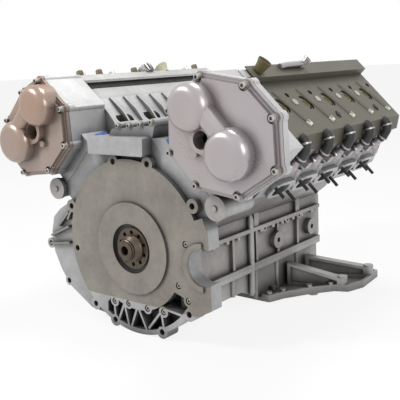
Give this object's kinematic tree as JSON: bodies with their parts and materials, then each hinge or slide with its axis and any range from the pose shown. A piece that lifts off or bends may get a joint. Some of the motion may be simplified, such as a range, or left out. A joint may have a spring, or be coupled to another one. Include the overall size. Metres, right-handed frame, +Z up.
{
  "type": "v-ten engine",
  "caption": "Long ninety-degree V engine with twin-cam heads, shielded cam covers, two-bulge timing covers, bell-housing face and winged sump base.",
  "frame": {"origin": "centre of the crankshaft's flywheel flange face", "axes": "+Y along the crankshaft into the engine, +Z up, +X to the right of someone facing the flywheel end"},
  "size_m": [0.761, 0.6845, 0.5681],
  "materials": {
    "black_rubber": "satin",
    "blue_plastic": "satin",
    "bright_bolt": "zinc plated",
    "bronze_shell": "satin",
    "cast_aluminium": "as cast, fine grain",
    "ceramic": "glazed",
    "dark_plastic": "satin",
    "dark_steel": "black oxide",
    "gasket": "matt",
    "machined_aluminium": "machined, satin",
    "moulded_cover": "smooth satin casting",
    "shield_sheet": "aluminised sheet",
    "steel": "ground"
  },
  "bodies": {
    "engine": {"bank_chains": "steel", "base_plugs": "bright_bolt", "bedplate": "cast_aluminium", "bedplate_bolts": "bright_bolt", "breather": "dark_plastic", "cam_cover_left": "cast_aluminium", "cam_cover_right": "cast_aluminium", "case_bolts": "bright_bolt", "chain_case": "cast_aluminium", "cylinder_block": "cast_aluminium", "cylinder_head_left": "cast_aluminium", "cylinder_head_right": "cast_aluminium", "exhaust_studs": "dark_steel", "exhaust_valves": "steel", "filler_neck": "dark_plastic", "front_cover": "cast_aluminium", "front_cover_bolts": "bright_bolt", "head_gaskets": "gasket", "idler_pins": "steel", "intake_valves": "steel", "lower_chain": "steel", "main_bearing_shells": "bronze_shell", "oil_sump": "cast_aluminium", "port_caps": "blue_plastic", "rear_main_seal": "black_rubber", "shield_clips": "black_rubber", "shield_left": "shield_sheet", "shield_right": "shield_sheet", "spark_plugs": "ceramic", "sump_base": "cast_aluminium", "tensioner_covers": "bright_bolt", "timing_cover_bolts": "bright_bolt", "timing_cover_left": "moulded_cover", "timing_cover_right": "moulded_cover", "timing_gaskets": "gasket", "valley_cover": "cast_aluminium"},
    "crank": {"crankshaft": "steel", "vibration_damper": "steel", "crank_wheel": "steel"},
    "intake_cam_left": {"intake_camshaft_left": "steel", "intake_phaser_left": "steel"},
    "exhaust_cam_left": {"exhaust_camshaft_left": "steel", "exhaust_phaser_left": "steel"},
    "idler_left": {"idler_wheel_left": "steel"},
    "piston_left_1": {"piston_left_1": "machined_aluminium"},
    "piston_left_2": {"piston_left_2": "machined_aluminium"},
    "piston_left_3": {"piston_left_3": "machined_aluminium"},
    "piston_left_4": {"piston_left_4": "machined_aluminium"},
    "piston_left_5": {"piston_left_5": "machined_aluminium"},
    "intake_cam_right": {"intake_camshaft_right": "steel", "intake_phaser_right": "steel"},
    "exhaust_cam_right": {"exhaust_camshaft_right": "steel", "exhaust_phaser_right": "steel"},
    "idler_right": {"idler_wheel_right": "steel"},
    "piston_right_1": {"piston_right_1": "machined_aluminium"},
    "piston_right_2": {"piston_right_2": "machined_aluminium"},
    "piston_right_3": {"piston_right_3": "machined_aluminium"},
    "piston_right_4": {"piston_right_4": "machined_aluminium"},
    "piston_right_5": {"piston_right_5": "machined_aluminium"}
  },
  "joints": [
    {"name": "crank_spin", "type": "hinge", "parent": "engine", "child": "crank", "pos_m": [0, 0, 0], "axis": [0, 1, 0], "continuous": true},
    {"name": "intake_cam_left_spin", "type": "hinge", "parent": "engine", "child": "intake_cam_left", "pos_m": [-0.21828, 0, 0.29607], "axis": [0, 1, 0], "continuous": true},
    {"name": "exhaust_cam_left_spin", "type": "hinge", "parent": "engine", "child": "exhaust_cam_left", "pos_m": [-0.29607, 0, 0.21828], "axis": [0, 1, 0], "continuous": true},
    {"name": "idler_left_spin", "type": "hinge", "parent": "engine", "child": "idler_left", "pos_m": [-0.13294, 0, 0.13294], "axis": [0, 1, 0], "continuous": true},
    {"name": "intake_cam_right_spin", "type": "hinge", "parent": "engine", "child": "intake_cam_right", "pos_m": [0.21828, 0, 0.29607], "axis": [0, 1, 0], "continuous": true},
    {"name": "exhaust_cam_right_spin", "type": "hinge", "parent": "engine", "child": "exhaust_cam_right", "pos_m": [0.29607, 0, 0.21828], "axis": [0, 1, 0], "continuous": true},
    {"name": "idler_right_spin", "type": "hinge", "parent": "engine", "child": "idler_right", "pos_m": [0.13294, 0, 0.13294], "axis": [0, 1, 0], "continuous": true},
    {"name": "piston_left_1_slide", "type": "slide", "parent": "engine", "child": "piston_left_1", "axis": [-0.7071, 0, 0.7071], "range_m": [-0.07567, 0.01713]},
    {"name": "piston_left_2_slide", "type": "slide", "parent": "engine", "child": "piston_left_2", "axis": [-0.7071, 0, 0.7071], "range_m": [-0.0004, 0.0924]},
    {"name": "piston_left_3_slide", "type": "slide", "parent": "engine", "child": "piston_left_3", "axis": [-0.7071, 0, 0.7071], "range_m": [-0.03216, 0.06064]},
    {"name": "piston_left_4_slide", "type": "slide", "parent": "engine", "child": "piston_left_4", "axis": [-0.7071, 0, 0.7071], "range_m": [-0.0863, 0.0065]},
    {"name": "piston_left_5_slide", "type": "slide", "parent": "engine", "child": "piston_left_5", "axis": [-0.7071, 0, 0.7071], "range_m": [-0.01968, 0.07312]},
    {"name": "piston_right_1_slide", "type": "slide", "parent": "engine", "child": "piston_right_1", "axis": [0.7071, 0, 0.7071], "range_m": [-0.07567, 0.01713]},
    {"name": "piston_right_2_slide", "type": "slide", "parent": "engine", "child": "piston_right_2", "axis": [0.7071, 0, 0.7071], "range_m": [-0.03216, 0.06064]},
    {"name": "piston_right_3_slide", "type": "slide", "parent": "engine", "child": "piston_right_3", "axis": [0.7071, 0, 0.7071], "range_m": [-0.0004, 0.0924]},
    {"name": "piston_right_4_slide", "type": "slide", "parent": "engine", "child": "piston_right_4", "axis": [0.7071, 0, 0.7071], "range_m": [-0.01968, 0.07312]},
    {"name": "piston_right_5_slide", "type": "slide", "parent": "engine", "child": "piston_right_5", "axis": [0.7071, 0, 0.7071], "range_m": [-0.0863, 0.0065]}
  ],
  "couplings": [
    {"joint": "intake_cam_left_spin", "follows": "crank_spin", "ratio": 0.5},
    {"joint": "exhaust_cam_left_spin", "follows": "crank_spin", "ratio": 0.5},
    {"joint": "idler_left_spin", "follows": "crank_spin", "ratio": 0.66667},
    {"joint": "intake_cam_right_spin", "follows": "crank_spin", "ratio": 0.5},
    {"joint": "exhaust_cam_right_spin", "follows": "crank_spin", "ratio": 0.5},
    {"joint": "idler_right_spin", "follows": "crank_spin", "ratio": 0.66667}
  ]
}
